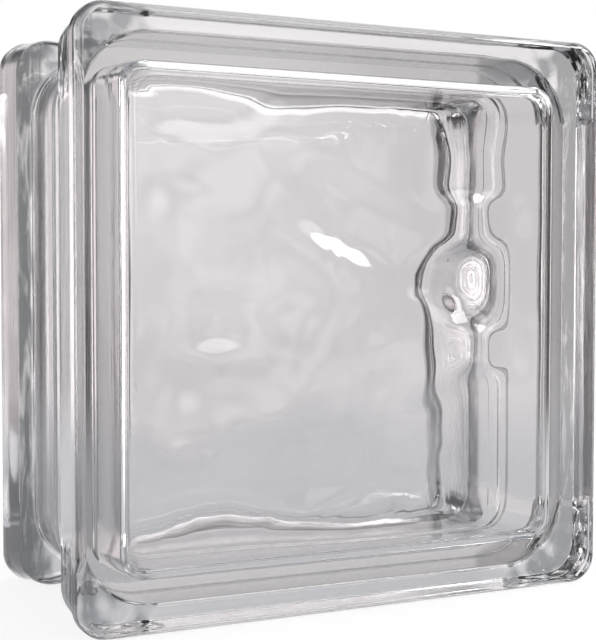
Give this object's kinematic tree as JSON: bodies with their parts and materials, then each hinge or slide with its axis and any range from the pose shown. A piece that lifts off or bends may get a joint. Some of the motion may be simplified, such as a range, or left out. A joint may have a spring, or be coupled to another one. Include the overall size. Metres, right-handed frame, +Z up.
{
  "type": "glass block",
  "caption": "Hollow square glass block with flat outer faces, wavy inner faces and a mortar channel round its sides, laid in walls and partitions to let light through.",
  "frame": {"origin": "middle of the block's footprint on the floor, under the lips it stands on", "axes": "+X across the face to the right, +Y through the depth from the front face to the back face, +Z up"},
  "size_m": [0.197, 0.0984, 0.197],
  "materials": {
    "clear_glass": "polished"
  },
  "bodies": {
    "root": {"glass_block": "clear_glass"}
  },
  "joints": []
}
